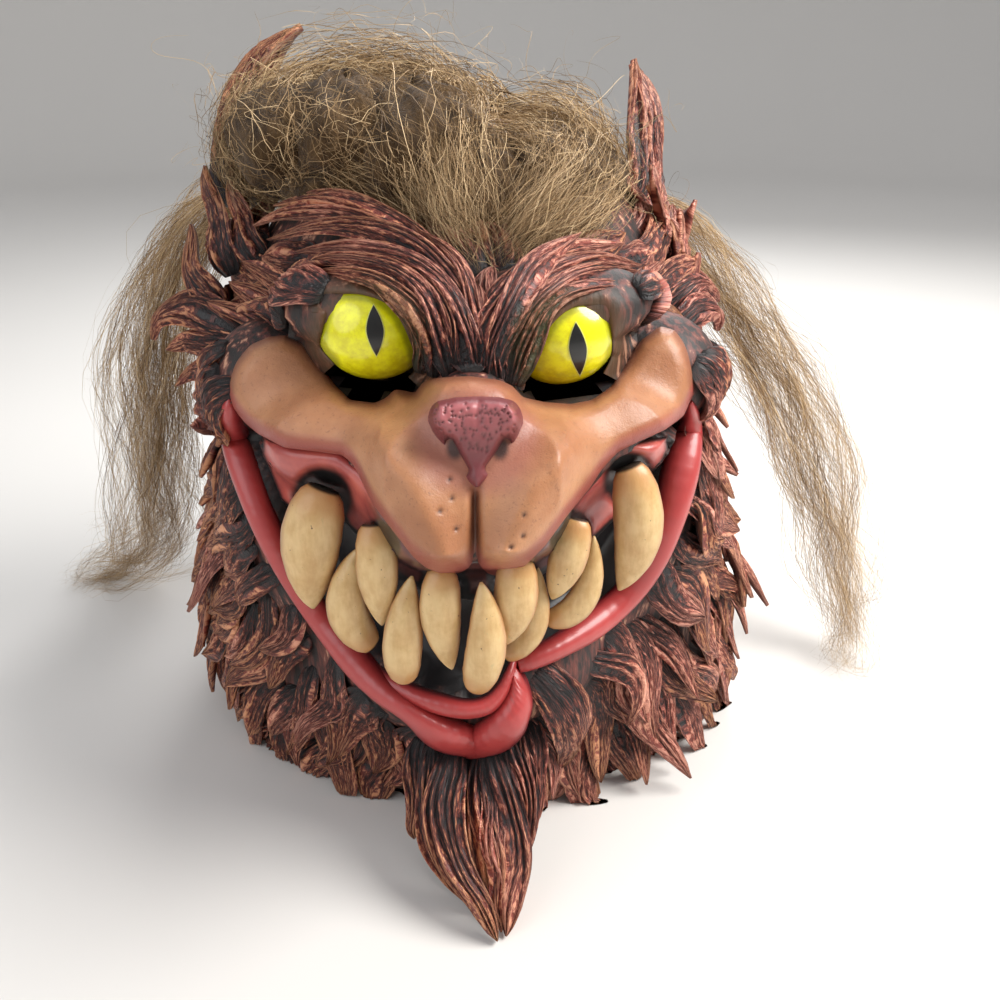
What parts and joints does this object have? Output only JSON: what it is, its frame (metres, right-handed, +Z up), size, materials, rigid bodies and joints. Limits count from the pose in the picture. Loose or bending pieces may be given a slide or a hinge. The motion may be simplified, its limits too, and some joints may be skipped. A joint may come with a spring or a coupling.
{
  "type": "werewolf mask",
  "caption": "Full-head latex werewolf mask with sculpted fur, a wide toothed grin, bulging slit-pupil eyes and frizzy hair, standing on its neck rim.",
  "frame": {"origin": "on the floor under the middle of the whole object's box", "axes": "-Y is the way the face looks, +X is to the right as the face is looked at, +Z up"},
  "size_m": [0.4936, 0.3368, 0.3436],
  "materials": {
    "painted_latex": "maroon painted latex with tan dry-brushed ridges, tan cheeks and red lips",
    "eye_paint": "gloss fluorescent yellow with black slit pupils",
    "tooth_paint": "satin cream paint, tan at the roots",
    "frizzy_hair": "matt frizzy fibre, khaki brown"
  },
  "bodies": {
    "root": {"latex_head": "painted_latex", "eye_left": "eye_paint", "eye_right": "eye_paint", "tooth_upper_1": "tooth_paint", "tooth_upper_2": "tooth_paint", "tooth_upper_3": "tooth_paint", "tooth_upper_4": "tooth_paint", "tooth_upper_5": "tooth_paint", "tooth_upper_6": "tooth_paint", "tooth_lower_1": "tooth_paint", "tooth_lower_2": "tooth_paint", "tooth_lower_3": "tooth_paint", "tooth_lower_4": "tooth_paint", "tooth_lower_5": "tooth_paint", "hair_forelock": "frizzy_hair", "hair_back": "frizzy_hair", "hair_fall_left": "frizzy_hair", "hair_fall_right": "frizzy_hair"}
  },
  "joints": []
}
